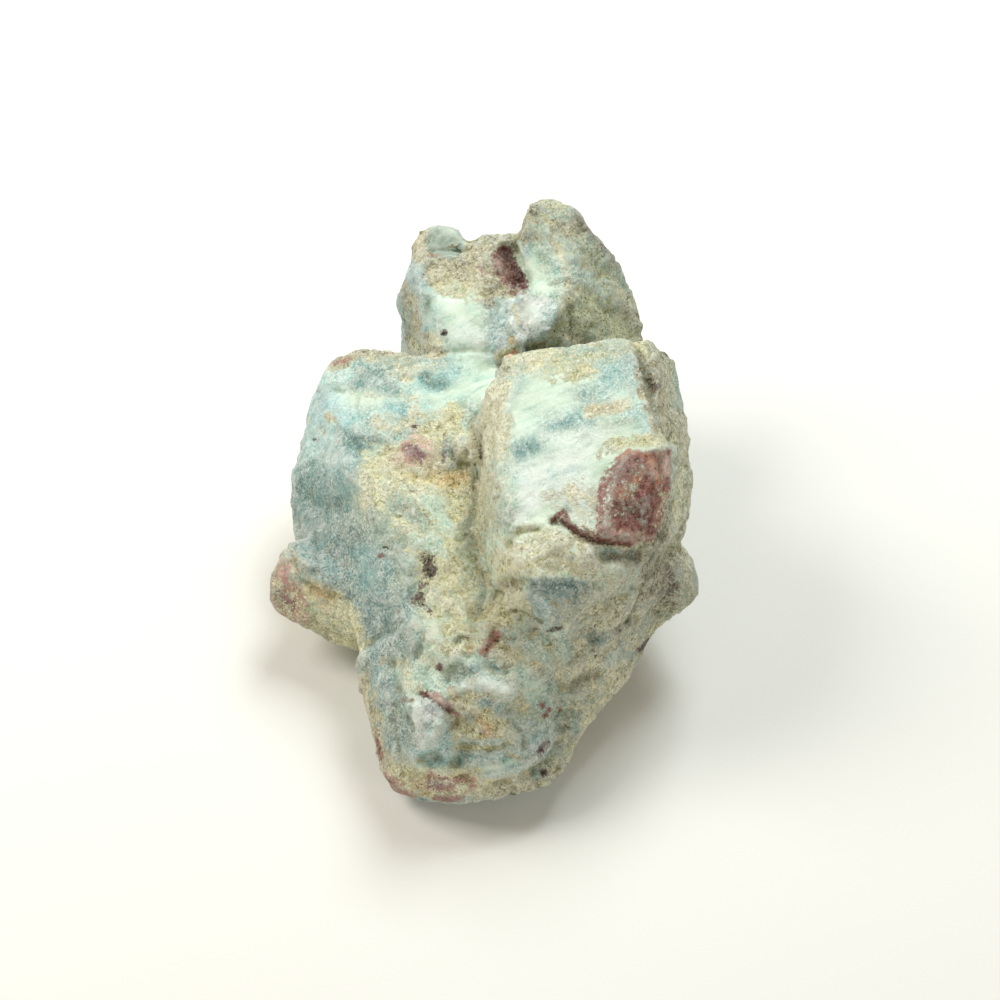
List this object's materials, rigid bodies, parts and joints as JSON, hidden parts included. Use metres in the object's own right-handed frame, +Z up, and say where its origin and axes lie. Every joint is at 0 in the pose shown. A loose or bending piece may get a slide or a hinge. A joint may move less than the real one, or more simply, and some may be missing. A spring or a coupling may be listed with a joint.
{
  "type": "rough larimar",
  "caption": "Rough blue-green pectolite hand specimen with tan crust and rusty patches: a knobbly broken stone that rests on a flat underside.",
  "frame": {"origin": "middle of the stone's bounding box in plan, at the height of the flat broken face it rests on", "axes": "+Z up from the resting face, +Y along the stone's length from the low near end to the raised peak at the back, +X to the right as seen from the near end"},
  "size_m": [0.062, 0.0834, 0.044],
  "materials": {
    "larimar": "waxy pale blue-green with dull granular tan crust and rusty red patches"
  },
  "bodies": {
    "root": {"larimar_stone": "larimar"}
  },
  "joints": []
}
